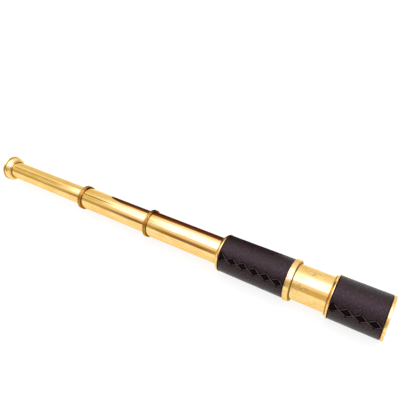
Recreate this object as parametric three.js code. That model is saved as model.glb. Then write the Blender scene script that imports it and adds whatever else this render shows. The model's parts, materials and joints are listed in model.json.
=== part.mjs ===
// Brass hand telescope: a leather-covered barrel, a leather-covered sunshade that slides on the
// barrel's bare front end, and three draw tubes that slide into the barrel one inside the other.
// Millimetres. The optical axis runs along X with the objective toward +X. +Z is up and the
// underside rests on Z = 0. Places along the tube are given as distances behind the front edge.
import * as THREE from 'three';

// ---------------------------------------------------------------- driving dimensions
const LENGTH = 407.8;                  // fully drawn, front edge to eyepiece rim (16 inches)
const SIDES = 32;                      // facets round every turned piece
const FIT = 0.15;                      // radial room between two turned pieces
const WIDEST = 18.2;                   // radius of the sunshade's rear ring, the widest piece

const SHADE_RIM = 2.4;                 // length of the rolled ring at the front
const SHADE_LEATHER_END = 42.5;
const SHADE_REAR = 45.8;               // back of the sunshade's rear ring
const BAND_FRONT = 74.0;               // brass band in front of the barrel leather
const BAND_BACK = 79.2;
const BARREL_LEATHER_END = 138.4;
const BARREL_BACK = 142.0;             // back of the barrel's end collar
const DRAW3_BACK = 219.6;              // back of the collar on the widest draw tube
const DRAW2_BACK = 300.6;              // back of the collar on the middle draw tube
const CUP_FRONT = LENGTH - 8.8;        // front of the eyepiece cup

const SHADE_TUBE = [1.3, 44.0];        // front and back end of each brass tube
const BARREL_TUBE = [36.0, 141.0];
const DRAW3_TUBE = [126.0, 218.0];
const DRAW2_TUBE = [201.0, 298.3];
const DRAW1_TUBE = [289.1, LENGTH - 5.2];
const EYEPIECE_CELL = [LENGTH - 30.0, LENGTH - 5.3];
const ERECTOR_TUBE = [293.0, 341.0];

const BARREL_R = 14.9;                 // outer radius and wall of each brass tube
const BARREL_WALL = 1.0;
const SHADE_R = 16.0;
const SHADE_WALL = 0.8;
const DRAW3_R = 11.9;
const DRAW2_R = 10.55;
const DRAW1_R = 8.67;
const DRAW_WALL = 0.55;
const CELL_WALL = 0.6;                 // eyepiece cell and erector tube
const GAP = 0.1;                       // end gap between pieces that butt

const LEATHER_FRONT_R = 16.7;          // outside of the barrel leather, slightly tapered
const LEATHER_BACK_R = 16.3;
const SHADE_LEATHER_R = 17.7;
const SEAM_GAP = 0.3;                  // the leather's two edges do not quite meet
const SKIVE = 0.35;                    // leather is pared thinner along its end edges
const SLEEVE_ROW = 6;                  // spacing of the rows across a leather sleeve

const THREAD_W = 0.9;                  // lacing thread, slightly flattened
const THREAD_T = 0.55;
const THREAD_LIFT = 0.15;
const STITCH_REACH = 3.1;              // from the seam to each row of lacing holes
const FIRST_CROSSING = 0.6;            // where the threads first cross, behind the sleeve's front
const BARREL_STITCHES = [10.2, 6];     // pitch of the lacing and how many times it crosses
const SHADE_STITCHES = [10.4, 4];

const OBJECTIVE_R = 12.4;              // edge radius of the two objective lenses
const CELL_BORE = 12.6;
const CELL_LIP = 11.5;                 // the ledge that the flint lens rests on
const OCULAR_STOP = 4.4;               // radius of each hole that limits the light
const ERECTOR_STOP = 2.2;
const EYE_RING = 6.2;

const AXIS_Z = WIDEST * Math.cos(Math.PI / SIDES);

// ---------------------------------------------------------------- finishes
const BRASS = { color: '#dba94a', roughness: 0.22, metalness: 1 };
const AGED_BRASS = { color: '#8d6c3c', roughness: 0.38, metalness: 1 };
const BLACKENED = { color: '#1e1b19', roughness: 0.7, metalness: 0.6 };
const LEATHER = { color: '#2f262b', roughness: 0.55, metalness: 0 };
const THREAD = { color: '#17120f', roughness: 0.65, metalness: 0 };
const GLASS = { color: '#dfeaec', roughness: 0.03, metalness: 0 };

const telescope = new THREE.Group();
telescope.name = 'hand_telescope';

// ---------------------------------------------------------------- making pieces
function add(name, geometry, finish) {
  const mesh = new THREE.Mesh(geometry, new THREE.MeshStandardMaterial(finish));
  mesh.name = name;
  telescope.add(mesh);
}

// A turned piece from an outline of [radius, distance behind the front edge] corners.
function turned(name, corners, finish) {
  const outline = corners.map(([r, s]) => new THREE.Vector2(r, LENGTH / 2 - s));
  if (THREE.ShapeUtils.area(outline) < 0) outline.reverse();
  const solid = outline[0].x === 0 && outline[outline.length - 1].x === 0;
  if (!solid) outline.push(outline[0].clone());
  const geometry = new THREE.LatheGeometry(outline, SIDES, Math.PI / SIDES);
  geometry.rotateZ(-Math.PI / 2);
  geometry.translate(0, 0, AXIS_Z);
  add(name, geometry, finish);
}

// A plain tube or ring.
function tube(name, outer, inner, front, back, finish) {
  turned(name, [[outer, front], [outer, back], [inner, back], [inner, front]], finish);
}

// Wraps a flat piece round the axis. In the flat piece X is the distance behind the front edge,
// Y runs round the tube from the seam and Z is the height above the surface underneath.
function wrapped(name, geometry, under, seam, finish) {
  const place = geometry.getAttribute('position');
  for (let i = 0; i < place.count; i += 1) {
    const s = place.getX(i);
    const base = under(s);
    const turn = seam(s) + place.getY(i) / base;
    const r = base + place.getZ(i);
    place.setXYZ(i, LENGTH / 2 - s, -r * Math.cos(turn), AXIS_Z + r * Math.sin(turn));
  }
  add(name, geometry, finish);
}

// A straight change from one value to another between two places along the tube.
function between(s0, v0, s1, v1) {
  return (s) => v0 + ((v1 - v0) * (s - s0)) / (s1 - s0);
}

const degrees = (d) => THREE.MathUtils.degToRad(d);

// A leather sleeve: one sheet bent round the tube, its two long edges facing across the seam. The
// rows across it are close together, so that a seam that drifts round the tube stays smooth.
function leatherSleeve(name, front, back, inner, outer, seam) {
  const rows = Math.round((back - front) / SLEEVE_ROW);
  const round = 2 * Math.PI * inner - SEAM_GAP;
  const sheet = new THREE.BoxGeometry(rows, round, 1, rows, SIDES, 1);
  sheet.deleteAttribute('normal');
  sheet.deleteAttribute('uv');
  const place = sheet.getAttribute('position');
  for (let i = 0; i < place.count; i += 1) {
    const row = Math.round(place.getX(i) + rows / 2);
    const s = front + ((back - front) * row) / rows;
    const pared = row === 0 || row === rows ? SKIVE : 0;
    const top = outer(s) - inner - pared;
    place.setXYZ(i, s, -place.getY(i) + Math.PI * inner, place.getZ(i) > 0 ? top : 0);
  }
  wrapped(name, sheet, () => inner, seam, LEATHER);
}

// The lacing: two threads that share the holes on either side of the seam and cross between them.
// They come out from under the front ring where they cross, and end at the last pair of holes.
function lacing(name, front, pitch, stitches, leather, seam) {
  const slope = Math.atan(STITCH_REACH / (pitch / 2));
  const rise = THREAD_W / 2 / Math.cos(slope);
  const run = THREAD_W / 2 / Math.sin(slope);
  const inner = STITCH_REACH - rise;
  const reach = pitch / 2 - run;
  const end = front + (stitches - 0.5) * pitch;
  const upper = [[front, rise]];
  for (let i = 1; i < stitches; i += 1) {
    upper.push([front + (i - 0.5) * pitch, STITCH_REACH + rise]);
    upper.push([front + i * pitch, rise]);
  }
  upper.push([end, STITCH_REACH + rise]);
  const fork = [[end, inner], [end - reach, 0], [end, -inner]];
  const lower = upper.map(([s, y]) => [s, -y]).reverse();
  const shape = new THREE.Shape([...upper, ...fork, ...lower].map(([s, y]) => new THREE.Vector2(s, y)));
  for (let i = 1; i < stitches; i += 1) {
    const middle = front + (i - 0.5) * pitch;
    const eye = [[middle - reach, 0], [middle, -inner], [middle + reach, 0], [middle, inner]];
    shape.holes.push(new THREE.Path(eye.map(([s, y]) => new THREE.Vector2(s, y))));
  }
  const net = new THREE.ExtrudeGeometry(shape, { depth: THREAD_T, bevelEnabled: false });
  net.deleteAttribute('normal');
  net.deleteAttribute('uv');
  const place = net.getAttribute('position');
  for (let i = 0; i < place.count; i += 1) place.setY(i, -place.getY(i));
  wrapped(name, net, (s) => leather(s) + THREAD_LIFT, seam, THREAD);
}

// A lens from its rim and the two surfaces: bulges are positive when they stand proud of the rim.
function lens(name, radius, front, back, frontBulge, backBulge) {
  const shares = [0, 0.4, 0.75, 1];
  const sag = (share, bulge) => bulge * (1 - share * share);
  const face = shares.map((k) => [radius * k, front - sag(k, frontBulge)]);
  const rear = shares.map((k) => [radius * k, back + sag(k, backBulge)]).reverse();
  turned(name, [...face, ...rear], GLASS);
}

// ---------------------------------------------------------------- sunshade
const shadeSeam = between(0, degrees(22), SHADE_REAR, degrees(23));
const shadeBore = SHADE_R - SHADE_WALL;
const shadeSeat = SHADE_R + FIT;
const shadeLeather = () => SHADE_LEATHER_R;
const shadeSleeve = [SHADE_RIM + GAP, SHADE_LEATHER_END];
tube('shade_tube', SHADE_R, shadeBore, ...SHADE_TUBE, BRASS);
turned('shade_front_ring', [
  [shadeBore, 0], [17.1, 0], [17.6, 0.35], [17.8, 0.95], [17.8, 1.6], [17.5, SHADE_RIM],
  [shadeSeat, SHADE_RIM], [shadeSeat, 1.2], [shadeBore, 1.2],
], BRASS);
leatherSleeve('shade_leather', ...shadeSleeve, shadeSeat, shadeLeather, shadeSeam);
lacing('shade_lacing', shadeSleeve[0] + FIRST_CROSSING, ...SHADE_STITCHES, shadeLeather, shadeSeam);
turned('shade_rear_ring', [
  [BARREL_R + FIT, SHADE_REAR], [16.2, SHADE_REAR], [16.3, 45.2], [16.1, 44.9], [16.9, 44.5],
  [17.7, 43.6], [WIDEST, 43.1], [WIDEST, 42.6], [shadeSeat, 42.6], [shadeSeat, 44.1],
  [BARREL_R + FIT, 44.1],
], BRASS);

// ---------------------------------------------------------------- barrel
const barrelSeam = between(BAND_BACK, degrees(25), BARREL_LEATHER_END, degrees(34));
const barrelSeat = BARREL_R + FIT;
const barrelBore = BARREL_R - BARREL_WALL;
const barrelLeather = between(BAND_BACK, LEATHER_FRONT_R, BARREL_LEATHER_END, LEATHER_BACK_R);
const barrelSleeve = [BAND_BACK + GAP, BARREL_LEATHER_END];
tube('barrel_tube', BARREL_R, barrelBore, ...BARREL_TUBE, BRASS);
leatherSleeve('barrel_leather', ...barrelSleeve, barrelSeat, barrelLeather, barrelSeam);
lacing('barrel_lacing', barrelSleeve[0] + FIRST_CROSSING, ...BARREL_STITCHES, barrelLeather, barrelSeam);
turned('barrel_band', [
  [barrelSeat, BAND_FRONT], [17.0, BAND_FRONT], [17.4, 74.4], [17.4, 74.8], [17.0, 75.0],
  [17.0, 75.3], [17.5, 75.5], [17.5, 78.9], [17.2, BAND_BACK], [barrelSeat, BAND_BACK],
], BRASS);
turned('barrel_collar', [
  [DRAW3_R + FIT, BARREL_BACK], [14.4, BARREL_BACK], [14.6, 141.5], [15.6, 140.8], [16.3, 140.1],
  [16.6, 139.3], [16.6, 138.5], [barrelSeat, 138.5], [barrelSeat, 141.1], [barrelBore - FIT, 141.1],
  [barrelBore - FIT, 131.5], [DRAW3_R + FIT, 131.5],
], BRASS);

// The objective: a cemented pair would be one block, this one is an air-spaced pair in a cell
// that screws into the front of the barrel tube.
turned('objective_cell', [
  [BARREL_R, 29.5], [BARREL_R, 35.9], [barrelBore - FIT, 35.9], [barrelBore - FIT, 40.5],
  [CELL_LIP, 40.5], [CELL_LIP, 39.0], [CELL_BORE, 39.0], [CELL_BORE, 29.5],
], BLACKENED);
tube('objective_retaining_ring', CELL_BORE - FIT, CELL_LIP - GAP, 30.2, 32.4, BLACKENED);
lens('objective_crown_lens', OBJECTIVE_R, 32.8, 34.9, 1.2, 1.1);
lens('objective_flint_lens', OBJECTIVE_R, 35.1, 38.8, -1.1, 0);

// ---------------------------------------------------------------- draw tubes
// Each draw tube carries a stop ring at its inner end and a collar at its outer end. The collar's
// sleeve guides the next tube and is what that tube's stop ring pulls up against.
function drawCollar(name, outer, front, back, own, ownEnd, next, sleeveFront) {
  const bead = (back - front) / 2;
  const groove = front + bead;
  const step = ownEnd + GAP;
  const guide = own - DRAW_WALL - FIT;
  turned(name, [
    [next + FIT, back], [outer - 0.6, back], [outer - 0.1, back - 0.35 * bead],
    [outer, back - 0.55 * bead], [outer - 0.45, groove + 0.1], [outer - 0.45, groove - 0.1],
    [outer, front + 0.55 * bead], [outer - 0.1, front + 0.35 * bead], [outer - 0.6, front],
    [own + FIT, front], [own + FIT, step], [guide, step], [guide, sleeveFront],
    [next + FIT, sleeveFront],
  ], AGED_BRASS);
}

const draw3Bore = DRAW3_R - DRAW_WALL;
const draw2Bore = DRAW2_R - DRAW_WALL;
const draw1Bore = DRAW1_R - DRAW_WALL;

tube('draw3_tube', DRAW3_R, draw3Bore, ...DRAW3_TUBE, BRASS);
tube('draw3_stop_ring', barrelBore - 0.3, DRAW3_R + FIT, 126.3, 131.2, BRASS);
drawCollar('draw3_collar', 13.2, 216.3, DRAW3_BACK, DRAW3_R, DRAW3_TUBE[1], DRAW2_R, 205.5);

tube('draw2_tube', DRAW2_R, draw2Bore, ...DRAW2_TUBE, BRASS);
tube('draw2_stop_ring', draw3Bore - 0.15, DRAW2_R + 0.1, 201.3, 205.2, BRASS);
drawCollar('draw2_collar', 12.0, 296.8, DRAW2_BACK, DRAW2_R, DRAW2_TUBE[1], DRAW1_R, 293.5);

tube('draw1_tube', DRAW1_R, draw1Bore, ...DRAW1_TUBE, BRASS);
tube('draw1_stop_ring', draw2Bore - 0.25, DRAW1_R + 0.1, 289.4, 293.2, BRASS);

// ---------------------------------------------------------------- eyepiece and erector
const fromRim = (d) => LENGTH - d;
const cupFloor = DRAW1_TUBE[1] + 0.2;
turned('eyepiece_cup', [
  [DRAW1_R + FIT, CUP_FRONT], [10.0, CUP_FRONT], [11.1, fromRim(7.9)], [11.9, fromRim(6.6)],
  [12.35, fromRim(5.1)], [12.45, fromRim(3.6)], [12.25, fromRim(2.2)], [12.05, fromRim(1.7)],
  [12.75, fromRim(1.5)], [13.0, fromRim(1.1)], [13.0, fromRim(0.4)], [12.7, LENGTH],
  [11.4, LENGTH], [10.6, fromRim(1.1)], [8.2, fromRim(2.3)], [5.6, fromRim(3.0)],
  [3.6, fromRim(3.3)], [3.6, cupFloor], [DRAW1_R + FIT, cupFloor],
], BRASS);

const cellR = draw1Bore - FIT;
const cellBore = cellR - CELL_WALL;
const smallLens = cellBore - GAP;
tube('eyepiece_cell', cellR, cellBore, ...EYEPIECE_CELL, BLACKENED);
lens('eye_lens', smallLens, fromRim(8.0), fromRim(5.6), 1.3, 0);
tube('eye_lens_ring', smallLens, EYE_RING, fromRim(11.0), fromRim(8.6), BLACKENED);
tube('field_stop', smallLens, OCULAR_STOP, fromRim(18.8), fromRim(17.8), BLACKENED);
lens('field_lens', smallLens, fromRim(27.8), fromRim(26.2), 1.5, 0);
tube('erector_tube', cellR, cellBore, ...ERECTOR_TUBE, BLACKENED);
lens('erector_front_lens', smallLens, 296.2, 297.8, 0, 1.2);
tube('erector_stop', smallLens, ERECTOR_STOP, 318.0, 318.9, BLACKENED);
lens('erector_rear_lens', smallLens, 335.6, 337.2, 1.2, 0);

export default telescope;
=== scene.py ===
"""Brass hand telescope with a laced leather barrel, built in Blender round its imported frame.

Lengths are in millimetres until a mesh is made. The optical axis runs along X, objective at +X.
Every turned piece is spun from its own outline, every leather sleeve is one bent sheet, and the
lacing is sewn by a Geometry Nodes tree.
"""

import json
import math

import bpy
import bmesh
from mathutils import Euler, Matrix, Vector, noise


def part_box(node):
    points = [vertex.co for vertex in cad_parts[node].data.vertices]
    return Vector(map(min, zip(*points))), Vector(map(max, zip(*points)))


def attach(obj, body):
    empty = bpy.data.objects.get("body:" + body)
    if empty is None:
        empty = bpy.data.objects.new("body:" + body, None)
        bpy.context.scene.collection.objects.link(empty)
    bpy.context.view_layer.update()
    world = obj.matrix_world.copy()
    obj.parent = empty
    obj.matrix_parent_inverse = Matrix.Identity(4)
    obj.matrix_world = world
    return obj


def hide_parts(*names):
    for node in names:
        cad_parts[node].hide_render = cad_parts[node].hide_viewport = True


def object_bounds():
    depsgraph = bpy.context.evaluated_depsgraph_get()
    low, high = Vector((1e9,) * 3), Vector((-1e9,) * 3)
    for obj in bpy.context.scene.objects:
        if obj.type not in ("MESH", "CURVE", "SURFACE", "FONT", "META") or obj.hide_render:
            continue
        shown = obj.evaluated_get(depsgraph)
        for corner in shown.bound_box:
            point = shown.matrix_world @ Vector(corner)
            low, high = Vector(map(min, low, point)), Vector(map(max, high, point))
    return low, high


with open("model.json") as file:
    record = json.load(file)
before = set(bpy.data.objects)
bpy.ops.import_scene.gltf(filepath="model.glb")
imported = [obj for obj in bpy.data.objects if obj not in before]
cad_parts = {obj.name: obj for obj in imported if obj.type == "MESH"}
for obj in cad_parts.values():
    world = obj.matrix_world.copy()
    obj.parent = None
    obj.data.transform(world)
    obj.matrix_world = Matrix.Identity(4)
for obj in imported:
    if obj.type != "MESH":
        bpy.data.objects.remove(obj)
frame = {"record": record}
cad_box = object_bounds()

# ------------------------------------------------------------------ sizes shared with the frame
MM = 0.001
SIDES = 32                      # facets round the frame's turned pieces
ROUND = 144                     # facets round the finished ones
FLAT_TO_CORNER = 1 / math.cos(math.pi / SIDES)
FIT = 0.12                      # radial room between two turned pieces
END_GAP = 0.1                   # room between a tube's end and the shoulder that stops it
DRAW_END_GAP = 0.08
LENS_ROOM = 0.15
BARREL_WALL = 1.0
SHADE_WALL = 0.8
DRAW_WALL = 0.55
CELL_WALL = 0.6
LEATHER_TAPER = 0.4             # the barrel leather narrows by this toward the eyepiece
SHADE_LEATHER_R = 17.7
SEAM_GAP = 0.04                 # the two edges of a sleeve all but meet
STITCH_REACH = 3.1              # from the seam to each row of lacing holes
FIRST_CROSSING = 0.6            # where the threads first cross, behind the sleeve's front edge
THREAD_R = 0.40
BARREL_SEAM = (34, 25)          # degrees above level on the near side, at the back and the front
SHADE_SEAM = (23, 22)
BARREL_STITCHES = (6, 10.2)     # how many crossings, and how far apart
SHADE_STITCHES = (4, 10.4)

RECORD = frame["record"]
BODY_OF = {n: body for body, nodes in RECORD["behaviour"]["bodies"].items() for n in nodes}


def span(node):
    """Back end, front end and true outer radius of a turned node, in millimetres."""
    low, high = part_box(node)
    return low.x / MM, high.x / MM, (high.y - low.y) / 2 / MM * FLAT_TO_CORNER


low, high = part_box("barrel_tube")
AXIS = (low.z + high.z) / 2 / MM


# ------------------------------------------------------------------ materials
def colour(code):
    """An sRGB hex colour as linear RGBA."""
    parts = [int(code[i:i + 2], 16) / 255 for i in (1, 3, 5)]
    return [c / 12.92 if c <= 0.04045 else ((c + 0.055) / 1.055) ** 2.4 for c in parts] + [1.0]


# A Map Range's inputs 0 to 4 are its value, the two levels it reads and the two it gives. A colour
# Mix takes its share at 0 and its colours at 6 and 7, and gives its result at 2.
def add(tree, kind, inputs=None, out=0, **settings):
    """Adds a node with its settings and links, and gives one of its outputs, or the node for None."""
    node = tree.nodes.new(kind)
    for key, value in settings.items():
        setattr(node, key, value)
    for key, value in (inputs or {}).items():
        if isinstance(value, bpy.types.NodeSocket):
            tree.links.new(value, node.inputs[key])
        else:
            node.inputs[key].default_value = value
    return node if out is None else node.outputs[out]


def material(name, **surface):
    """A new material with its tree and its Principled shader, whose own sockets are set here."""
    made = bpy.data.materials.new(name)
    made.use_nodes = True
    tree = made.node_tree
    shader = tree.nodes["Principled BSDF"]
    for socket, value in surface.items():
        shader.inputs[socket.replace("_", " ")].default_value = value
    return made, tree, shader


EVEN = (1, 1, 1)                # a pattern that is not stretched


def centred(tree, stretch):
    """Object coordinates measured from the optical axis, in millimetres, stretched along each axis."""
    where = add(tree, "ShaderNodeTexCoord", out="Object")
    size = [s / MM for s in stretch]
    shift = (0, 0, -AXIS * MM * size[2])
    return add(tree, "ShaderNodeMapping", {"Vector": where, "Scale": size, "Location": shift})


def speckle(tree, stretch, size, detail=3.0, rough=0.55):
    """Cloudy spots that measure about size millimetres, once stretched."""
    return add(tree, "ShaderNodeTexNoise", {
        "Vector": centred(tree, stretch), "Scale": 1 / size, "Detail": detail, "Roughness": rough,
    }, out="Fac")


def two_tone(tree, pattern, low, high, first, second, most=1.0):
    """A colour that passes from first to second, or partly, as a pattern rises from low to high."""
    share = add(tree, "ShaderNodeMapRange", {0: pattern, 1: low, 2: high, 4: most})
    tones = [colour(tone) if isinstance(tone, str) else tone for tone in (first, second)]
    return add(tree, "ShaderNodeMix", {0: share, 6: tones[0], 7: tones[1]}, out=2, data_type="RGBA")


def shaded_and_soiled(tree, shader, clean, shade_and_dirt):
    """Colours a surface, painted darker where the piece is marked as a corner, as shade and dirt, and
    gives those marks.
    """
    marks = add(tree, "ShaderNodeAttribute", out="Fac", attribute_name="corner_shade_and_dirt")
    tree.links.new(two_tone(tree, marks, 0, 1, clean, shade_and_dirt), shader.inputs["Base Color"])
    return marks


def relief(tree, shader, *layers):
    """Bumps laid one over another, each given as (pattern, full depth in millimetres, strength)."""
    inputs = {}
    for pattern, depth, strength in layers:
        inputs.update({"Height": pattern, "Distance": depth * MM, "Strength": strength})
        inputs["Normal"] = add(tree, "ShaderNodeBump", inputs)
    tree.links.new(inputs["Normal"], shader.inputs["Normal"])


BRASS_EDGE = "#ffe6ae"          # brass stays golden where it is seen edge on
WAX_TINT = "#ffddce"            # waxed leather and thread have a warm shine


def brass(name, smooth, worn, lines, mottle):
    """Lacquered brass: clean metal, deeper where the lacquer has yellowed, spotted where it failed.

    A drawn tube keeps faint straight lines along its length, hands leave soft smears, and the corners
    are painted dark brown, as shade and as dirt that a cloth does not reach. The lines are drawn
    0.75 mm apart, several times their true spacing, so that they show.
    """
    made, tree, shader = material(name, Metallic=1.0, Specular_Tint=colour(BRASS_EDGE))
    smears = speckle(tree, (0.5, 1, 1), 8, 4)
    drawn = speckle(tree, (0.010, 1, 1), 0.75, 3, 0.75)
    fine_spots = speckle(tree, (0.6, 1, 1), 1.6, 5, 0.75)
    spotted_areas = speckle(tree, (0.30, 1, 1), 6, 2)
    scuffs = speckle(tree, (0.05, 1, 1), 0.5, 3)
    clean = two_tone(tree, smears, 0.42, 0.68, "#ffdc96", "#f9cd7e")
    lined = two_tone(tree, drawn, 0.53, 0.66, clean, "#a8762e", lines)
    area = add(tree, "ShaderNodeMapRange", {0: spotted_areas, 1: 0.46, 2: 0.60, 4: mottle})
    spots = add(tree, "ShaderNodeMapRange", {0: fine_spots, 1: 0.48, 2: 0.62})
    tarnish = add(tree, "ShaderNodeMath", {0: spots, 1: area}, operation="MULTIPLY")
    # The corner marks paint the corners dark brown, as shade and as dirt.
    corners = shaded_and_soiled(tree, shader, two_tone(tree, tarnish, 0, 1, lined, "#9a6a26"), "#4a2c0d")
    handled = add(tree, "ShaderNodeMapRange", {0: smears, 1: 0.35, 2: 0.7, 3: smooth, 4: worn})
    scuffed = add(tree, "ShaderNodeMapRange", {0: scuffs, 1: 0.45, 2: 0.75, 4: 0.07})
    rubbed = add(tree, "ShaderNodeMath", {0: handled, 1: scuffed}, operation="ADD")
    dull = add(tree, "ShaderNodeMath", {0: corners, 1: 0.3, 2: rubbed}, operation="MULTIPLY_ADD")
    tree.links.new(dull, shader.inputs["Roughness"])
    die_marks = speckle(tree, (0.010, 1, 1), 0.9, 2)
    dents = speckle(tree, (0.4, 1, 1), 6, 1)
    relief(tree, shader, (die_marks, 0.014 * lines, 1), (dents, 0.04, 1))
    return made


def antiqued_brass():
    """Brass darkened with acid and rubbed back: brown in the grooves, as patina and painted shade,
    warm metal on the beads.
    """
    made, tree, shader = material("antiqued_brass", Metallic=1.0, Specular_Tint=colour(BRASS_EDGE))
    cloudy = speckle(tree, EVEN, 2.5, 4)
    turning_lines = speckle(tree, (1, 0.02, 0.02), 0.25, 2)
    # The corner marks paint the grooves dark brown, as patina and as shade.
    shaded_and_soiled(tree, shader, two_tone(tree, cloudy, 0.35, 0.65, "#d3a350", "#a87a35"), "#3c230b")
    satin = add(tree, "ShaderNodeMapRange", {0: cloudy, 1: 0.3, 2: 0.7, 3: 0.20, 4: 0.36})
    tree.links.new(satin, shader.inputs["Roughness"])
    relief(tree, shader, (turning_lines, 0.02, 0.8))
    return made


def blackened_brass():
    """Brass painted matt black so that stray light dies inside: a dull, slightly brushed black."""
    made, tree, shader = material("blackened_brass")
    streaks = speckle(tree, (1, 0.05, 0.05), 0.6, 3)
    paint = two_tone(tree, streaks, 0.4, 0.7, "#171513", "#2b2724")
    tree.links.new(paint, shader.inputs["Base Color"])
    matt = add(tree, "ShaderNodeMapRange", {0: streaks, 1: 0.3, 2: 0.7, 3: 0.55, 4: 0.75})
    tree.links.new(matt, shader.inputs["Roughness"])
    relief(tree, shader, (streaks, 0.02, 0.6))
    return made


def black_leather():
    """Vegetable-tanned calf dyed aubergine black: pebbled grain, pores, and a dull waxed shine.

    The pebbles and pores are drawn at 1.2 and 1.3 mm, twice their true size, so that they show. The
    pores are painted lighter, as glints on the grain and as rubbed tops. No wax reaches the creases
    and the bottom of the diamonds, which stay dull, and they are painted near black as shade.
    """
    made, tree, shader = material("black_leather", Specular_Tint=colour(WAX_TINT))
    pebbles = add(tree, "ShaderNodeTexVoronoi", {"Vector": centred(tree, EVEN), "Scale": 1 / 1.2},
                  out="Distance", feature="DISTANCE_TO_EDGE")
    pores_and_glints = speckle(tree, EVEN, 1.3, 4, 0.7)
    patches = speckle(tree, (0.6, 1, 1), 7, 3)
    dyed = two_tone(tree, patches, 0.35, 0.68, "#0d060a", "#160b11")
    # The pores paint light specks, as glints on the grain and rubbed tops; the creases and diamonds
    # are painted near black, as shade and dirt.
    creases = shaded_and_soiled(tree, shader, two_tone(tree, pores_and_glints, 0.52, 0.66, dyed, "#3e3038", 0.7), "#0c0508")
    waxed = add(tree, "ShaderNodeMapRange", {0: creases, 3: 0.36, 4: 0.04})
    tree.links.new(waxed, shader.inputs["Specular IOR Level"])
    shine = add(tree, "ShaderNodeMapRange", {0: patches, 1: 0.3, 2: 0.7, 3: 0.32, 4: 0.42})
    dull = add(tree, "ShaderNodeMath", {0: creases, 1: 0.35, 2: shine}, operation="MULTIPLY_ADD")
    tree.links.new(dull, shader.inputs["Roughness"])
    domed = add(tree, "ShaderNodeMapRange", {0: pebbles, 2: 0.18})
    relief(tree, shader, (domed, 0.06, 0.8), (pores_and_glints, 0.24, 0.9))
    return made


def waxed_thread():
    """Black linen thread drawn through wax: nearly black, with a soft shine on each ply."""
    made, tree, shader = material("waxed_thread", Specular_IOR_Level=0.8,
                                  Specular_Tint=colour(WAX_TINT))
    fibres = speckle(tree, EVEN, 0.3, 3)
    linen = two_tone(tree, fibres, 0.4, 0.7, "#110a0d", "#281d22")
    tree.links.new(linen, shader.inputs["Base Color"])
    shine = add(tree, "ShaderNodeMapRange", {0: fibres, 1: 0.3, 2: 0.7, 3: 0.22, 4: 0.38})
    tree.links.new(shine, shader.inputs["Roughness"])
    relief(tree, shader, (fibres, 0.05, 0.6))
    return made


def lens_glass(name, index, tint):
    """Optical glass: clear, polished, with a trace of dust that only shows in the shine."""
    made, tree, shader = material(name, Transmission_Weight=1.0, IOR=index)
    dust = speckle(tree, EVEN, 1.5, 4)
    dusty = add(tree, "ShaderNodeMapRange", {0: dust, 1: 0.5, 2: 0.8, 4: 0.06})
    tree.links.new(dusty, shader.inputs["Roughness"])
    tree.links.new(two_tone(tree, dust, 0.4, 0.8, tint, "#e9efee"), shader.inputs["Base Color"])
    return made


FINISH = {
    "polished_brass": brass("polished_brass", 0.07, 0.14, 0.14, 0.6),
    "cast_brass": brass("cast_brass", 0.08, 0.14, 0.15, 0.4),
    "draw_tube_brass": brass("draw_tube_brass", 0.045, 0.10, 0.55, 0.12),
    "aged_brass": antiqued_brass(),
    "blackened_brass": blackened_brass(),
    "black_leather": black_leather(),
    "lacing_thread": waxed_thread(),
    "crown_glass": lens_glass("crown_glass", 1.517, "#f6fbfa"),
    "flint_glass": lens_glass("flint_glass", 1.62, "#f8faf0"),
}


# ------------------------------------------------------------------ turning
def fitted(piece, node, finish):
    """Gives a finished piece its material and its body, and hides the node that it stands for."""
    piece.data.materials.clear()
    piece.data.materials.append(FINISH[finish])
    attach(piece, BODY_OF[node])
    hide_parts(node)
    return piece


def solid(name, points, faces, sharp=35):
    """A mesh object from points in millimetres, its faces turned outwards."""
    mesh = bpy.data.meshes.new(name)
    mesh.from_pydata([[c * MM for c in p] for p in points], [], faces)
    shape = bmesh.new()
    shape.from_mesh(mesh)
    bmesh.ops.remove_doubles(shape, verts=shape.verts, dist=1e-7)
    bmesh.ops.recalc_face_normals(shape, faces=shape.faces)
    if shape.calc_volume(signed=True) < 0:
        bmesh.ops.reverse_faces(shape, faces=shape.faces)
    shape.to_mesh(mesh)
    shape.free()
    mesh.shade_smooth()
    mesh.set_sharp_from_angle(angle=math.radians(sharp))
    piece = bpy.data.objects.new(name, mesh)
    bpy.context.scene.collection.objects.link(piece)
    return piece


def rounded(corners, steps=5):
    """An outline from corners (x, radius, rounding), each turned into a short curve."""
    points = []
    count = len(corners)
    for i, (x, r, size) in enumerate(corners):
        here = Vector((x, r))
        if size == 0:
            points.append(here)
            continue
        arms = []
        for x2, r2, _ in (corners[i - 1], corners[(i + 1) % count]):
            arm = Vector((x2, r2)) - here
            arms.append(here + arm.normalized() * min(size, arm.length * 0.45))
        for k in range(steps + 1):
            t = k / steps
            points.append(arms[0] * (1 - t) ** 2 + here * (2 * t * (1 - t)) + arms[1] * t ** 2)
    return points


def spun(name, outline, closed=True, out_of_round=None):
    """Spins an outline of (x, radius) points round the axis. An open outline starts and ends on it."""
    points, rings = [], []
    for x, r in outline:
        if r < 1e-6:
            rings.append([len(points)] * ROUND)
            points.append((x, 0, AXIS))
            continue
        rings.append(list(range(len(points), len(points) + ROUND)))
        for i in range(ROUND):
            turn = 2 * math.pi * i / ROUND
            reach = r + (out_of_round(x, r, turn) if out_of_round else 0)
            points.append((x, -reach * math.cos(turn), AXIS + reach * math.sin(turn)))
    faces = []
    pairs = list(zip(rings, rings[1:])) + ([(rings[-1], rings[0])] if closed else [])
    for one, two in pairs:
        for i in range(ROUND):
            j = (i + 1) % ROUND
            face = [one[i], one[j], two[j], two[i]]
            face = [v for k, v in enumerate(face) if v != face[k - 1]]
            faces.append(face)
    return solid(name, points, faces)


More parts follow.
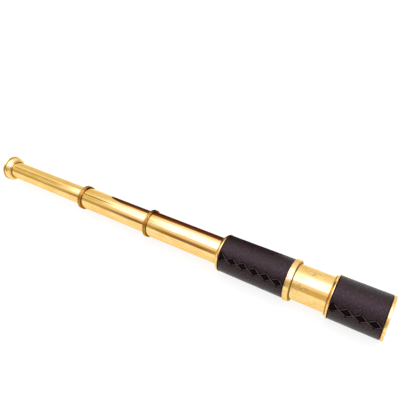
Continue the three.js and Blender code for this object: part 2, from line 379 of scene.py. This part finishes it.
def shaded_and_dirtied(piece, places):
    """Marks the corners that are painted darker, as shade and dirt, given as (x, radius, reach) in
    millimetres.
    """
    mesh = piece.data
    marks = mesh.attributes.new("corner_shade_and_dirt", "FLOAT", "POINT").data
    for vertex, mark in zip(mesh.vertices, marks):
        x, y, z = vertex.co / MM
        r = math.hypot(y, z - AXIS)
        mark.value = max(max(0.0, 1 - math.hypot(x - px, r - pr) / reach) for px, pr, reach in places)
    return piece


def ring(name, node, bore, finish, edge=0.2, **extra):
    """A plain tube or ring, as long and as wide as its node, with broken edges."""
    back, front, r = span(node)
    corners = [(back, bore, edge), (back, r, edge), (front, r, edge), (front, bore, edge)]
    return fitted(spun(name, rounded(corners, 4), **extra), node, finish)


def lens(name, node, finish, front_bulge, back_bulge):
    """A lens as long as its node: each bulge is how far that face stands proud of the rim."""
    back, front, r = span(node)
    rim_back = back + max(back_bulge, 0)
    rim_front = front - max(front_bulge, 0)
    steps = 12
    shares = [math.sin(math.pi / 2 * k / steps) for k in range(steps + 1)]
    face = [Vector((rim_front + front_bulge * (1 - k * k), r * k)) for k in shares]
    rear = [Vector((rim_back - back_bulge * (1 - k * k), r * k)) for k in reversed(shares)]
    return fitted(spun(name, face + rear, closed=False), node, finish)


# ------------------------------------------------------------------ leather and lacing
def between(x, back, front, values):
    """A value that changes evenly from the back end to the front end."""
    return values[0] + (values[1] - values[0]) * (x - back) / (front - back)


def sheet_columns(length, near, fine, coarse):
    """Distances across a sheet from one edge to the other, closer together near both edges."""
    edge = [near * k / round(near / fine) for k in range(round(near / fine))]
    middle_count = round((length - 2 * near) / coarse)
    middle = [near + (length - 2 * near) * k / middle_count for k in range(middle_count + 1)]
    return edge + middle + [length - d for d in reversed(edge)]


def crossings(front, stitches):
    """Where the two threads cross along a sleeve, from the back one to the front one."""
    count, pitch = stitches
    return [front - FIRST_CROSSING - k * pitch for k in reversed(range(count))]


GLUE = 0.05                     # between a sleeve and what it lies on
ROW_STEP = 0.36                 # mesh steps along a sleeve, and across it near the seam and far off
FINE_STEP = 0.32
COARSE_STEP = 1.8
FINE_STRIP = 7.0                # how far from the seam the steps across are fine
END_PARING = 0.55               # how much thinner the leather is pared at its two ends
SEAM_PULL = 0.18                # a broad hollow that the pull of the lacing leaves
EDGE_ROLL = 0.20                # the edges roll down where they meet
DIAMOND_DEPTH = 0.72
HOLE_DEPTH = 0.35
PRESSED_DEPTH = 0.12            # under each thread


def seam_dent(nearest, away, pitch):
    """How deep the lacing pulls the leather in at a place, and how much it is dulled and painted
    darker there, as shade in the hollows.

    The place lies nearest from a pair of holes, along the sleeve, and away from the seam, across it.
    """
    half = pitch / 2
    open_to = STITCH_REACH * max(0.0, 1 - nearest / half) ** 0.75
    sunk = min(1.0, max(0.0, (open_to - away) / 0.5 + 0.5)) if open_to > 0 else 0.0
    hole = math.exp(-(nearest ** 2 + (away - STITCH_REACH) ** 2) / 0.35)
    thread = STITCH_REACH * (1 - nearest / half)
    pressed = math.exp(-((away - thread) / 0.75) ** 2) if away < STITCH_REACH + 1 else 0
    dip = SEAM_PULL * math.exp(-(away / 4.2) ** 2)
    dip += EDGE_ROLL * math.exp(-away / 0.35)
    dip += DIAMOND_DEPTH * sunk
    dip += HOLE_DEPTH * hole
    dip += PRESSED_DEPTH * pressed
    # The diamonds, holes, grooves beside the threads and the seam are painted darker, as shade in
    # these hollows.
    crease = 0.6 * math.exp(-away / 0.5)
    return dip, max(sunk * 0.9, hole, pressed, crease)


def sheet_faces(wide, tall):
    """Faces of a closed sheet: a grid of points on top, the same grid below, and the rim."""
    many = wide * tall
    faces = []
    for j in range(tall - 1):
        for i in range(wide - 1):
            a = j * wide + i
            quad = [a, a + 1, a + 1 + wide, a + wide]
            faces.append(quad)
            faces.append([many + v for v in reversed(quad)])
    rim = [j * wide for j in range(tall)]
    rim += [(tall - 1) * wide + i for i in range(1, wide)]
    rim += [j * wide + wide - 1 for j in range(tall - 2, -1, -1)]
    rim += list(range(wide - 2, 0, -1))
    for a, b in zip(rim, rim[1:] + rim[:1]):
        faces.append([a, b, b + many, a + many])
    return faces


def leather_sleeve(name, node, under, outer, seam, stitches):
    """One sheet of leather bent round its tube, with a sunken diamond between each pair of holes."""
    back, front, _ = span(node)
    under += GLUE
    gap_turn = SEAM_GAP / 2 / under
    pitch = stitches[1]
    holes = [x - pitch / 2 for x in crossings(front, stitches)]
    around = 2 * math.pi * under - SEAM_GAP
    columns = sheet_columns(around, FINE_STRIP, FINE_STEP, COARSE_STEP)
    rows_count = round((front - back) / ROW_STEP)
    rows = [back + (front - back) * k / rows_count for k in range(rows_count + 1)]
    top, bottom, marks = [], [], []
    for x in rows:
        edge = min(x - back, front - x)
        pared = END_PARING * max(0.0, 1 - edge / 0.9) ** 2
        nearest = min(abs(x - hole) for hole in holes)
        for y in columns:
            turn = math.radians(between(x, back, front, seam)) + gap_turn + y / under
            off = y if y < around / 2 else y - around
            dip, mark = seam_dent(nearest, abs(off), pitch)
            uneven = 0.07 * noise.noise(Vector((x / 6, off / 6, pitch)))
            uneven += 0.04 * noise.noise(Vector((x / 1.7, off / 1.7, pitch)))
            r = outer(x) - dip - pared + uneven
            top.append((x, -r * math.cos(turn), AXIS + r * math.sin(turn)))
            bottom.append((x, -under * math.cos(turn), AXIS + under * math.sin(turn)))
            # Both ends of the sleeve are painted darker too, as shade where the leather meets the
            # brass.
            marks.append(max(mark, 1 - edge / 0.8))
    piece = solid(name, top + bottom, sheet_faces(len(columns), len(rows)), 60)
    creases = piece.data.attributes.new("corner_shade_and_dirt", "FLOAT", "POINT").data
    for crease, mark in zip(creases, marks + [0.0] * len(top)):
        crease.value = mark
    return fitted(piece, node, "black_leather")


CROSS_SHARE = 0.48              # half of a cross's length, in pitches
THREAD_POINTS = 40              # along one leg of a cross
SEATED = 0.15                   # a thread's height over the leather, in thread radii
LIFT = 1.7                      # how much higher the upper thread climbs over the lower one
LIFT_REACH = 0.55               # how far from the crossing it climbs, in half lengths
DIVE = -2.6                     # how far a thread's end goes down its hole
DIVE_POWER = 9.0
ROPE_SIDES = 12
PLIES = 3
PLY_ROUND = 0.9                 # the rope's mean radius, in thread radii
PLY_SWELL = 0.13                # how far each ply stands proud of that
ROPE_LAY = 0.9                  # length along the rope for a radian of twist, in thread radii
LACING_SIZES = (
    "First stitch", "Pitch", "Half length", "Reach", "Thread radius", "Back", "Front",
    "Back radius", "Front radius", "Back seam", "Front seam", "Axis height",
)


def flat_crosses(tree, given):
    """A row of crosses laid flat along X, with Y across the seam and Z the height over the leather."""
    along = add(tree, "GeometryNodeSplineParameter", out="Factor")
    signed = add(tree, "ShaderNodeMath", {0: along, 1: 2.0, 2: -1.0}, operation="MULTIPLY_ADD")
    to_end = add(tree, "ShaderNodeMath", {0: signed}, operation="ABSOLUTE")
    dive = add(tree, "ShaderNodeMath", {0: to_end, 1: DIVE_POWER}, operation="POWER")
    seated = add(tree, "ShaderNodeMath", {0: dive, 1: DIVE, 2: SEATED}, operation="MULTIPLY_ADD")
    over = add(tree, "ShaderNodeMapRange", {0: to_end, 2: LIFT_REACH, 3: 1.0, 4: 0.0},
               interpolation_type="SMOOTHSTEP")
    lifted = add(tree, "ShaderNodeMath", {0: over, 1: LIFT, 2: seated}, operation="MULTIPLY_ADD")
    cross = add(tree, "GeometryNodeJoinGeometry")
    for side, height in ((1.0, seated), (-1.0, lifted)):
        across = add(tree, "ShaderNodeMath", {0: given["Reach"], 1: side}, operation="MULTIPLY")
        end = add(tree, "ShaderNodeCombineXYZ", {"X": given["Half length"], "Y": across})
        start = add(tree, "ShaderNodeVectorMath", {0: end, "Scale": -1.0}, operation="SCALE")
        line = add(tree, "GeometryNodeCurvePrimitiveLine", {"Start": start, "End": end})
        fine = add(tree, "GeometryNodeResampleCurve", {"Curve": line, "Count": THREAD_POINTS})
        up = add(tree, "ShaderNodeMath", {0: height, 1: given["Thread radius"]}, operation="MULTIPLY")
        offset = add(tree, "ShaderNodeCombineXYZ", {"Z": up})
        thread = add(tree, "GeometryNodeSetPosition", {"Geometry": fine, "Offset": offset})
        tree.links.new(thread, cross.node.inputs[0])
    places = add(tree, "GeometryNodeMeshLine", {
        "Count": given["Stitches"],
        "Start Location": add(tree, "ShaderNodeCombineXYZ", {"X": given["First stitch"]}),
        "Offset": add(tree, "ShaderNodeCombineXYZ", {"X": given["Pitch"]}),
    }, mode="OFFSET")
    sewn = add(tree, "GeometryNodeInstanceOnPoints", {"Points": places, "Instance": cross})
    return add(tree, "GeometryNodeRealizeInstances", {"Geometry": sewn})


def bent_round(tree, given, flat):
    """Cuts the row off at the front edge of its sleeve and bends it round the tube, over the seam."""
    position = add(tree, "GeometryNodeInputPosition")
    here = add(tree, "ShaderNodeSeparateXYZ", {0: position}, out=None).outputs
    past = add(tree, "ShaderNodeMath", {0: here["X"], 1: given["Front"]}, operation="GREATER_THAN")
    kept = add(tree, "GeometryNodeDeleteGeometry", {"Geometry": flat, "Selection": past},
               domain="POINT")
    radius, seam = [add(tree, "ShaderNodeMapRange", {
        0: here["X"], 1: given["Back"], 2: given["Front"],
        3: given["Back " + size], 4: given["Front " + size],
    }, clamp=False) for size in ("radius", "seam")]
    across = add(tree, "ShaderNodeMath", {0: here["Y"], 1: radius}, operation="DIVIDE")
    turn = add(tree, "ShaderNodeMath", {0: seam, 1: across}, operation="ADD")
    reach = add(tree, "ShaderNodeMath", {0: radius, 1: here["Z"]}, operation="ADD")
    cosine = add(tree, "ShaderNodeMath", {0: turn}, operation="COSINE")
    sine = add(tree, "ShaderNodeMath", {0: turn}, operation="SINE")
    outward = add(tree, "ShaderNodeMath", {0: reach, 1: cosine}, operation="MULTIPLY")
    near = add(tree, "ShaderNodeMath", {0: outward, 1: -1.0}, operation="MULTIPLY")
    height = add(tree, "ShaderNodeMath", {0: reach, 1: sine, 2: given["Axis height"]},
                 operation="MULTIPLY_ADD")
    round_tube = add(tree, "ShaderNodeCombineXYZ", {"X": here["X"], "Y": near, "Z": height})
    return add(tree, "GeometryNodeSetPosition", {"Geometry": kept, "Position": round_tube})


def twisted_rope(tree, given, path):
    """Sweeps twisted plies along a path: a round section that swells once for each ply."""
    length = add(tree, "GeometryNodeSplineParameter", out="Length")
    lay = add(tree, "ShaderNodeMath", {0: given["Thread radius"], 1: ROPE_LAY}, operation="MULTIPLY")
    tilt = add(tree, "ShaderNodeMath", {0: length, 1: lay}, operation="DIVIDE")
    twisted = add(tree, "GeometryNodeSetCurveTilt", {"Curve": path, "Tilt": tilt})
    circle = add(tree, "GeometryNodeCurvePrimitiveCircle", {
        "Resolution": ROPE_SIDES, "Radius": given["Thread radius"],
    })
    index = add(tree, "GeometryNodeInputIndex")
    ply_turn = 2 * math.pi * PLIES / ROPE_SIDES
    turned = add(tree, "ShaderNodeMath", {0: index, 1: ply_turn}, operation="MULTIPLY")
    swell = add(tree, "ShaderNodeMath", {0: turned}, operation="COSINE")
    grow = add(tree, "ShaderNodeMath", {0: swell, 1: PLY_SWELL, 2: PLY_ROUND},
               operation="MULTIPLY_ADD")
    swollen = add(tree, "ShaderNodeVectorMath", {
        0: add(tree, "GeometryNodeInputPosition"), "Scale": grow,
    }, operation="SCALE")
    section = add(tree, "GeometryNodeSetPosition", {"Geometry": circle, "Position": swollen})
    return add(tree, "GeometryNodeCurveToMesh", {
        "Curve": twisted, "Profile Curve": section, "Fill Caps": True,
    })


def lacing_tree():
    """Geometry Nodes: sews crosses along X, bends them round a tube and sweeps the thread."""
    tree = bpy.data.node_groups.new("lacing", "GeometryNodeTree")
    tree.interface.new_socket("Geometry", in_out="OUTPUT", socket_type="NodeSocketGeometry")
    tree.interface.new_socket("Stitches", in_out="INPUT", socket_type="NodeSocketInt")
    for name in LACING_SIZES:
        tree.interface.new_socket(name, in_out="INPUT", socket_type="NodeSocketFloat")
    tree.interface.new_socket("Thread", in_out="INPUT", socket_type="NodeSocketMaterial")
    given = add(tree, "NodeGroupInput", out=None).outputs
    rope = twisted_rope(tree, given, bent_round(tree, given, flat_crosses(tree, given)))
    whole = add(tree, "GeometryNodeRealizeInstances", {"Geometry": rope})
    waxed = add(tree, "GeometryNodeSetMaterial", {"Geometry": whole, "Material": given["Thread"]})
    add(tree, "NodeGroupOutput", {0: waxed}, out=None)
    return tree


LACING = lacing_tree()


def laced(name, node, leather_node, radii, seam, stitches):
    """Runs the lacing tree along a sleeve and keeps the result as a plain mesh."""
    back, front, _ = span(leather_node)
    count, pitch = stitches
    holder = bpy.data.objects.new(name + "_pattern", bpy.data.meshes.new(name + "_pattern"))
    bpy.context.scene.collection.objects.link(holder)
    sewing = holder.modifiers.new("lacing", "NODES")
    sewing.node_group = LACING
    sizes = {
        "Stitches": count,
        "First stitch": crossings(front, stitches)[0] * MM,
        "Pitch": pitch * MM,
        "Half length": pitch * CROSS_SHARE * MM,
        "Reach": STITCH_REACH * MM,
        "Thread radius": THREAD_R * MM,
        "Back": back * MM,
        "Front": front * MM,
        "Back radius": radii[0] * MM,
        "Front radius": radii[1] * MM,
        "Back seam": math.radians(seam[0]),
        "Front seam": math.radians(seam[1]),
        "Axis height": AXIS * MM,
        "Thread": FINISH["lacing_thread"],
    }
    for item in LACING.interface.items_tree:
        if item.in_out == "INPUT":
            sewing[item.identifier] = sizes[item.name]
    drawn = holder.evaluated_get(bpy.context.evaluated_depsgraph_get())
    mesh = bpy.data.meshes.new_from_object(drawn)
    bpy.data.objects.remove(holder)
    mesh.name = name
    mesh.shade_smooth()
    piece = bpy.data.objects.new(name, mesh)
    bpy.context.scene.collection.objects.link(piece)
    return fitted(piece, node, "lacing_thread")


# ------------------------------------------------------------------ sunshade
def make_sunshade():
    _, _, tube_r = span("shade_tube")
    bore = tube_r - SHADE_WALL
    ring("sunshade_tube", "shade_tube", bore, "polished_brass")
    back, front, r = span("shade_front_ring")
    lip = front - 1.2
    seat = tube_r + FIT
    bead = rounded([
        (front, bore, 0.25), (front, r - 1.1, 0.5), (front - 0.3, r, 0.9), (back, r, 0.8),
        (back, seat, 0.1), (lip, seat, 0), (lip, bore, 0.15),
    ])
    bead_ring = spun("sunshade_front_bead", bead)
    # Painted shade where the bead meets the leather.
    fitted(shaded_and_dirtied(bead_ring, [(back, r - 0.5, 0.7)]), "shade_front_ring", "cast_brass")
    back, front, r = span("shade_rear_ring")
    lip = span("shade_tube")[0] - END_GAP
    inner = span("barrel_tube")[2] + FIT
    flare = rounded([
        (front, seat, 0.1), (front, r, 0.2), (front - 0.7, r, 0.35), (back + 1.5, r - 1.25, 0.35),
        (back + 1.1, r - 1.95, 0.1), (back + 0.75, r - 2.0, 0.1), (back + 0.6, r - 1.75, 0.15),
        (back, r - 1.8, 0.2), (back, inner, 0.15), (lip, inner, 0), (lip, seat, 0),
    ])
    flared = spun("sunshade_rear_flare", flare)
    # Painted shade in the flare's groove, in its bore and where it meets the leather.
    corners = [(back + 0.9, r - 2.1, 0.55), (back, inner, 0.9), (front, r - 0.3, 0.35)]
    fitted(shaded_and_dirtied(flared, corners), "shade_rear_ring", "cast_brass")
    leather_sleeve("sunshade_leather", "shade_leather", seat, lambda x: SHADE_LEATHER_R,
                   SHADE_SEAM, SHADE_STITCHES)
    laced("sunshade_lacing", "shade_lacing", "shade_leather", (SHADE_LEATHER_R, SHADE_LEATHER_R),
          SHADE_SEAM, SHADE_STITCHES)


# ------------------------------------------------------------------ barrel
FLATS_DEPTH = 0.08              # left by the file round the band's face
NICKS_DEPTH = 0.9               # the deepest that a nick in its edges could be


def make_barrel():
    tube_back, _, tube_r = span("barrel_tube")
    bore = tube_r - BARREL_WALL
    seat = tube_r + FIT
    ring("barrel_tube_brass", "barrel_tube", bore, "polished_brass")
    back, front, r = span("barrel_band")

    def hand_filed(x, radius, turn):
        """The band was filed by hand, so its face has small flats and its edges have nicks."""
        if radius < r - 0.5:
            return 0
        edge = max(0, 1 - min(x - back, front - x) / 0.8)
        flats = FLATS_DEPTH * noise.noise(Vector((turn * 9, x / 12, 3)))
        nicks = max(0, noise.noise(Vector((turn * 14, 0 if x - back < 2 else 5, 8))) - 0.2)
        return flats - NICKS_DEPTH * nicks * edge

    band = rounded([
        (back, seat, 0.1), (back, r - 0.1, 0.12), (back + 0.1, r, 0.12), (back + 2.4, r, 0),
        (front - 0.9, r, 0.15), (front - 0.7, r - 0.15, 0.1), (front - 0.7, seat + 0.5, 0.2),
        (front, seat + 0.12, 0.1), (front, seat, 0),
    ])
    filed = spun("barrel_band_brass", band, out_of_round=hand_filed)
    # Painted shade along the joint between the band's face and the tube, and at its back edge.
    corners = [(front - 0.6, k, 0.8) for k in (seat, seat + 0.6, seat + 1.2, r - 0.7)]
    corners += [(back, r - 0.3, 0.4), (front, seat + 0.1, 0.8)]
    fitted(shaded_and_dirtied(filed, corners), "barrel_band", "cast_brass")
    back, front, r = span("barrel_collar")
    lip = tube_back - END_GAP
    leather_end = span("barrel_leather")[0] - END_GAP
    throat = span("draw3_tube")[2] + FIT
    sleeve = bore - FIT
    collar = rounded([
        (back, throat, 0.2), (back, r - 2.2, 0.2), (back + 0.45, r - 2.0, 0.2),
        (back + 0.6, r - 1.6, 0.15), (back + 1.4, r - 0.6, 0.6), (back + 2.4, r, 0.8),
        (leather_end, r, 0.2), (leather_end, seat, 0.1), (lip, seat, 0), (lip, sleeve, 0),
        (front, sleeve, 0.2), (front, throat, 0.2),
    ])
    turned = spun("barrel_end_collar", collar)
    # Painted shade in the collar's throat, in its groove and where the leather ends.
    corners = [(back, throat, 1.6), (back + 0.55, r - 1.9, 0.5), (leather_end, r, 0.4)]
    fitted(shaded_and_dirtied(turned, corners), "barrel_collar", "cast_brass")
    back, front, r = span("barrel_leather")
    radii = (r - LEATHER_TAPER, r)
    leather_sleeve("barrel_leather_sleeve", "barrel_leather", seat,
                   lambda x: between(x, back, front, radii), BARREL_SEAM, BARREL_STITCHES)
    laced("barrel_lacing_thread", "barrel_lacing", "barrel_leather", radii,
          BARREL_SEAM, BARREL_STITCHES)


def make_objective():
    back, front, r = span("objective_cell")
    lens_r = span("objective_crown_lens")[2] + LENS_ROOM
    shoulder = span("barrel_tube")[1] + END_GAP
    spigot = r - BARREL_WALL - FIT
    floor = back + 1.5
    cell = rounded([
        (back, lens_r - 1.1, 0.2), (back, spigot, 0.2), (shoulder, spigot, 0), (shoulder, r, 0.15),
        (front, r, 0.3), (front, lens_r, 0.3), (floor, lens_r, 0), (floor, lens_r - 1.1, 0.1),
    ])
    fitted(spun("objective_cell_brass", cell), "objective_cell", "blackened_brass")
    ring("objective_lock_ring", "objective_retaining_ring", lens_r - 1.2, "blackened_brass")
    lens("objective_crown", "objective_crown_lens", "crown_glass", 1.2, 1.1)
    lens("objective_flint", "objective_flint_lens", "flint_glass", -1.1, 0.0)


# ------------------------------------------------------------------ draw tubes
BEAD_HEIGHT = 0.62
BEAD_STEPS = 10                 # facets across one bead
BEADS_LENGTH = {"draw3_collar": 3.3, "draw2_collar": 3.8}


def beaded_collar(name, node, own, next_tube):
    """A draw tube's end: two half-round beads with a groove between, and the sleeve inside."""
    back, front, r = span(node)
    tube_back, _, tube_r = span(own)
    seat = tube_r + FIT
    lip = tube_back - DRAW_END_GAP
    sleeve = tube_r - DRAW_WALL - FIT
    throat = span(next_tube)[2] + FIT
    groove = r - BEAD_HEIGHT
    beads_end = back + BEADS_LENGTH[node]
    bead = BEADS_LENGTH[node] / 2
    outline = []
    for start in (back, back + bead):
        for k in range(BEAD_STEPS + 1):
            swing = math.pi * k / BEAD_STEPS
            rise = BEAD_HEIGHT * math.sin(swing)
            outline.append(Vector((start + bead / 2 * (1 - math.cos(swing)), groove + rise)))
    inside = rounded([
        (back, throat, 0.15), (back, groove, 0), (beads_end, groove, 0), (beads_end, seat, 0.08),
        (lip, seat, 0), (lip, sleeve, 0), (front, sleeve, 0.1), (front, throat, 0.1),
    ])
    split = next(i for i, p in enumerate(inside) if p == Vector((back, groove)))
    made = spun(name, inside[:split] + outline + inside[split + 2:])
    ends = (back, back + bead, beads_end)
    # Painted shade, with patina, in the grooves beside and between the beads.
    fitted(shaded_and_dirtied(made, [(x, groove, 0.5) for x in ends]), node, "aged_brass")


def make_draw_tubes():
    for name in ("draw3", "draw2", "draw1"):
        tube_r = span(name + "_tube")[2]
        ring(name + "_brass_tube", name + "_tube", tube_r - DRAW_WALL, "draw_tube_brass", edge=0.15)
        ring(name + "_stop", name + "_stop_ring", tube_r + FIT, "polished_brass")
    beaded_collar("draw3_beaded_collar", "draw3_collar", "draw3_tube", "draw2_tube")
    beaded_collar("draw2_beaded_collar", "draw2_collar", "draw2_tube", "draw1_tube")


# ------------------------------------------------------------------ eyepiece and erector
def make_eyepiece():
    back, front, r = span("eyepiece_cup")
    tube_back, _, tube_r = span("draw1_tube")
    seat = tube_r + FIT
    floor = tube_back - END_GAP
    neck = seat + 1.25
    cup = rounded([
        (front, seat, 0), (front, seat + 0.15, 0.1),
        (front - 0.6, seat + 0.5, 0.15), (front - 0.6, neck, 0.2),
        (front - 1.0, neck, 0.15), (front - 1.2, neck - 0.25, 0.08), (front - 1.4, neck - 0.2, 0.08),
        (front - 1.9, neck + 0.8, 0.5), (front - 3.4, r - 0.95, 1.0), (front - 5.2, r - 0.45, 1.2),
        (back + 2.1, r - 0.7, 0.5), (back + 1.7, r - 1.0, 0.12), (back + 1.45, r - 0.4, 0.12),
        (back + 1.0, r, 0.35), (back + 0.3, r, 0.35), (back, r - 0.4, 0.3), (back, r - 1.6, 0.4),
        (back + 1.2, r - 2.6, 0.8), (back + 2.5, r - 5.2, 1.5), (back + 3.2, r - 8.0, 1.2),
        (back + 3.4, r - 9.4, 0.3), (floor, r - 9.4, 0.15), (floor, seat, 0),
    ], 6)
    turned = spun("eyepiece_cup_brass", cup)
    # Painted shadow where the cup meets the tube and under its neck, and a painted dark reflection
    # round the back rim and the groove behind it.
    corners = [
        (front - 0.2, seat + 0.3, 0.8), (front - 1.3, neck - 0.2, 0.45),
        (back + 1.6, r - 0.8, 0.8), (back, r - 0.5, 0.8),
    ]
    fitted(shaded_and_dirtied(turned, corners), "eyepiece_cup", "cast_brass")
    cell_r = span("eyepiece_cell")[2]
    bore = cell_r - CELL_WALL
    rings = (
        ("eyepiece_cell_tube", "eyepiece_cell", bore), ("eye_lens_lock_ring", "eye_lens_ring", 6.2),
        ("eyepiece_field_stop", "field_stop", 4.4), ("erector_cell_tube", "erector_tube", bore),
        ("erector_iris", "erector_stop", 2.2),
    )
    for name, node, hole in rings:
        ring(name, node, hole, "blackened_brass", edge=0.12)
    lenses = (
        ("eye_glass", "eye_lens", 1.3, 0), ("field_glass", "field_lens", 1.5, 0),
        ("erector_front_glass", "erector_front_lens", 0, 1.2),
        ("erector_rear_glass", "erector_rear_lens", 1.2, 0),
    )
    for name, node, front_bulge, back_bulge in lenses:
        lens(name, node, "crown_glass", front_bulge, back_bulge)


# ------------------------------------------------------------------ studio
FLOOR_GLOW = 0.86


def studio_floor():
    """A sheet of white acrylic lit from below, which leaves only a faint shadow under the tubes.

    Its own colour is a warm grey that cancels the blue of the soft box.
    """
    bpy.ops.mesh.primitive_plane_add(size=6)
    floor = bpy.context.object
    floor.name = "studio_floor"
    made, tree, shader = material("lit_white_acrylic", Roughness=0.8, Emission_Strength=FLOOR_GLOW)
    tone = speckle(tree, EVEN, 120, 2)
    tree.links.new(two_tone(tree, tone, 0, 1, "#66665b", "#646459"), shader.inputs["Base Color"])
    tree.links.new(two_tone(tree, tone, 0, 1, "#ffffff", "#fdfdfd"), shader.inputs["Emission Color"])
    floor.data.materials.append(made)


FLAG_ENDS = (-0.098, 0.104)     # in metres along the telescope
FLAG_BEHIND = 0.050
FLAG_HEIGHT = 0.079
FLAG_PALES = (0.045, 0.075)     # between these heights the felt passes to a lighter brown


def dark_flag():
    """A strip of brown felt board just behind the tubes, seen only in the brass, for contrast."""
    left, right = FLAG_ENDS
    outline = ((left, 0), (right, 0), (right, FLAG_HEIGHT), (left, FLAG_HEIGHT))
    corners = [(x, FLAG_BEHIND, z) for x, z in outline]
    mesh = bpy.data.meshes.new("dark_flag")
    mesh.from_pydata(corners, [], [(0, 1, 2, 3)])
    flag = bpy.data.objects.new("dark_flag", mesh)
    made, tree, shader = material("brown_felt", Roughness=1.0)
    felt = two_tone(tree, speckle(tree, EVEN, 3), 0, 1, "#43211c", "#4f2a22")
    where = add(tree, "ShaderNodeTexCoord", out="Object")
    up = add(tree, "ShaderNodeSeparateXYZ", {0: where}, out="Z")
    tree.links.new(two_tone(tree, up, *FLAG_PALES, felt, "#a05f2c"), shader.inputs["Base Color"])
    mesh.materials.append(made)
    bpy.context.scene.collection.objects.link(flag)
    flag.visible_camera = False
    flag.visible_diffuse = False
    flag.visible_shadow = False
    flag.visible_transmission = False


# The studio as a ring of radiances round the tubes: degrees from straight up, positive toward the
# camera, and red, green and blue where a white card in full light is 1. The soft box overhead is
# bluish, which brass turns to cream. Toward the eyepiece two boxes meet, with a dark slit between.
NEAR_END = (
    (-180, (0.75, 0.74, 0.73)), (-92, (0.82, 0.80, 0.78)), (-60, (0.92, 0.90, 0.86)),
    (-38, (1.05, 1.03, 0.95)), (-24, (1.20, 1.22, 1.60)), (-13, (1.90, 1.95, 2.60)),
    (-4, (2.60, 2.65, 3.30)), (26, (2.70, 2.75, 3.70)), (36, (1.60, 1.70, 3.80)),
    (40, (1.10, 1.02, 1.05)), (54, (1.00, 0.92, 0.75)), (62, (0.68, 0.56, 0.40)),
    (70, (0.29, 0.19, 0.12)), (85, (0.27, 0.18, 0.11)), (92, (0.60, 0.52, 0.38)),
    (99, (1.00, 0.99, 0.97)), (180, (1.00, 1.00, 1.00)),
)
FAR_END = (
    (-180, (0.80, 0.79, 0.78)), (-86, (0.92, 0.90, 0.88)), (-62, (0.83, 0.80, 0.72)),
    (-38, (0.83, 0.78, 0.60)), (-12, (0.98, 0.94, 0.74)), (2, (1.10, 1.02, 0.90)),
    (6, (1.15, 1.10, 0.95)), (8, (0.16, 0.08, 0.03)), (14, (0.16, 0.08, 0.03)),
    (16, (0.90, 0.85, 0.62)), (34, (0.70, 0.66, 0.45)), (44, (0.98, 0.92, 0.75)),
    (56, (0.77, 0.70, 0.45)), (68, (0.56, 0.48, 0.25)), (82, (0.58, 0.50, 0.28)),
    (92, (0.84, 0.80, 0.56)), (101, (1.00, 0.99, 0.97)),
)
BRIGHTEST = 4.0
FRONT_FILL = "#716a57"          # the front of the room is never quite dark
FRONT_ZONE = (-0.34, -0.20)     # where each end of the room takes over, as a direction's X
EYEPIECE_ZONE = (-0.50, -0.64)


def radiance_ring(tree, around, stops):
    """A colour ramp round the tubes. A ramp holds nothing over 1, so it is scaled down here."""
    ring_of_light = add(tree, "ShaderNodeValToRGB", {"Fac": around})
    elements = ring_of_light.node.color_ramp.elements
    for index, (angle, rgb) in enumerate(stops):
        place = angle / 360 + 0.5
        element = elements[index] if index < 2 else elements.new(place)
        element.position = place
        element.color = [c / BRIGHTEST for c in rgb] + [1.0]
    return ring_of_light


def studio_walls():
    """Pale walls, a soft box overhead and the unlit side of the room low down behind the camera."""
    world = bpy.data.worlds.new("studio")
    bpy.context.scene.world = world
    world.use_nodes = True
    tree = world.node_tree
    tree.nodes.clear()
    direction = add(tree, "ShaderNodeTexCoord", out="Generated")
    way = add(tree, "ShaderNodeSeparateXYZ", {0: direction}, out=None).outputs
    toward = add(tree, "ShaderNodeMath", {0: way["Y"], 1: -1.0}, operation="MULTIPLY")
    angle = add(tree, "ShaderNodeMath", {0: toward, 1: way["Z"]}, operation="ARCTAN2")
    around = add(tree, "ShaderNodeMapRange", {0: angle, 1: -math.pi, 2: math.pi})
    to_front, to_eyepiece = [add(tree, "ShaderNodeMapRange", {0: way["X"], 1: begins, 2: ends})
                             for begins, ends in (FRONT_ZONE, EYEPIECE_ZONE)]
    near = radiance_ring(tree, around, NEAR_END)
    far = radiance_ring(tree, around, FAR_END)
    filled = add(tree, "ShaderNodeMix", {0: to_front, 6: near, 7: colour(FRONT_FILL)},
                 out=2, data_type="RGBA", blend_type="LIGHTEN")
    room = add(tree, "ShaderNodeMix", {0: to_eyepiece, 6: filled, 7: far}, out=2, data_type="RGBA")
    seen = add(tree, "ShaderNodeLightPath", out="Is Camera Ray")
    white = [1 / BRIGHTEST] * 3 + [1.0]
    shown = add(tree, "ShaderNodeMix", {0: seen, 6: room, 7: white}, out=2, data_type="RGBA")
    glow = add(tree, "ShaderNodeBackground", {"Color": shown, "Strength": BRIGHTEST})
    add(tree, "ShaderNodeOutputWorld", {"Surface": glow}, out=None)


CAMERA_LENS = 41.85
CAMERA_PLACE = (-0.0022, -0.249, 0.2897)    # in metres from the middle of the front ring's face
CAMERA_TURN = (38.99, 32.84, -2.54)         # degrees down from level, round to the left, and tipped


def camera():
    """Stands over the objective end and looks down along the tubes, tipped a little."""
    data = bpy.data.cameras.new("camera")
    data.lens = CAMERA_LENS
    data.sensor_width = 36
    eye = bpy.data.objects.new("camera", data)
    x, y, z = CAMERA_PLACE
    eye.location = (cad_box[1].x + x, y, AXIS * MM + z)
    down, across, tip = [math.radians(degrees) for degrees in CAMERA_TURN]
    aim = Euler((0, 0, across)).to_matrix() @ Euler((math.pi / 2 - down, 0, 0)).to_matrix()
    eye.rotation_euler = (aim @ Euler((0, 0, tip)).to_matrix()).to_euler()
    bpy.context.scene.collection.objects.link(eye)
    bpy.context.scene.camera = eye


make_sunshade()
make_barrel()
make_objective()
make_draw_tubes()
make_eyepiece()
studio_floor()
dark_flag()
studio_walls()
camera()
bpy.context.scene.view_settings.view_transform = "Standard"
